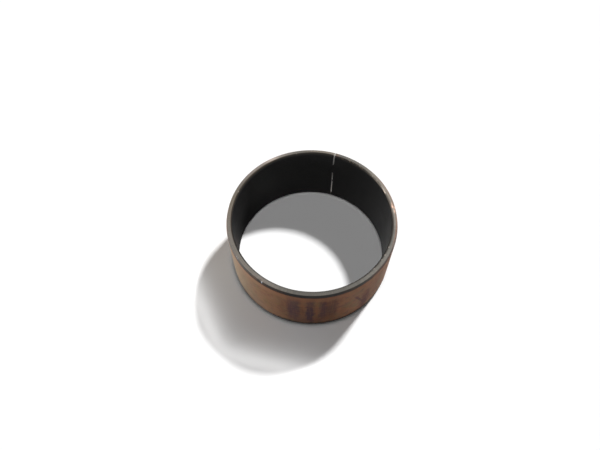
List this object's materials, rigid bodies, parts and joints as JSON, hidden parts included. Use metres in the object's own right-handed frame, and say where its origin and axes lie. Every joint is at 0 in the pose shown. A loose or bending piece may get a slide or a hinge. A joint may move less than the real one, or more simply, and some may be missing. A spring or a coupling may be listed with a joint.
{
  "type": "wrapped split sleeve bushing",
  "caption": "Thin steel sleeve rolled from a flat strip, with a black sliding layer inside, an open butt seam along one side and chamfered ends.",
  "frame": {"origin": "on the bushing's axis, in the plane of the lower end face it stands on", "axes": "+Z along the bore axis, from the lower end face to the upper one; +Y from the axis towards the butt seam"},
  "size_m": [0.07, 0.07, 0.03],
  "materials": {
    "copper_flashed_steel": "satin",
    "sliding_layer": "matte"
  },
  "bodies": {
    "root": {"steel_backing": "copper_flashed_steel", "sliding_liner": "sliding_layer"}
  },
  "joints": []
}
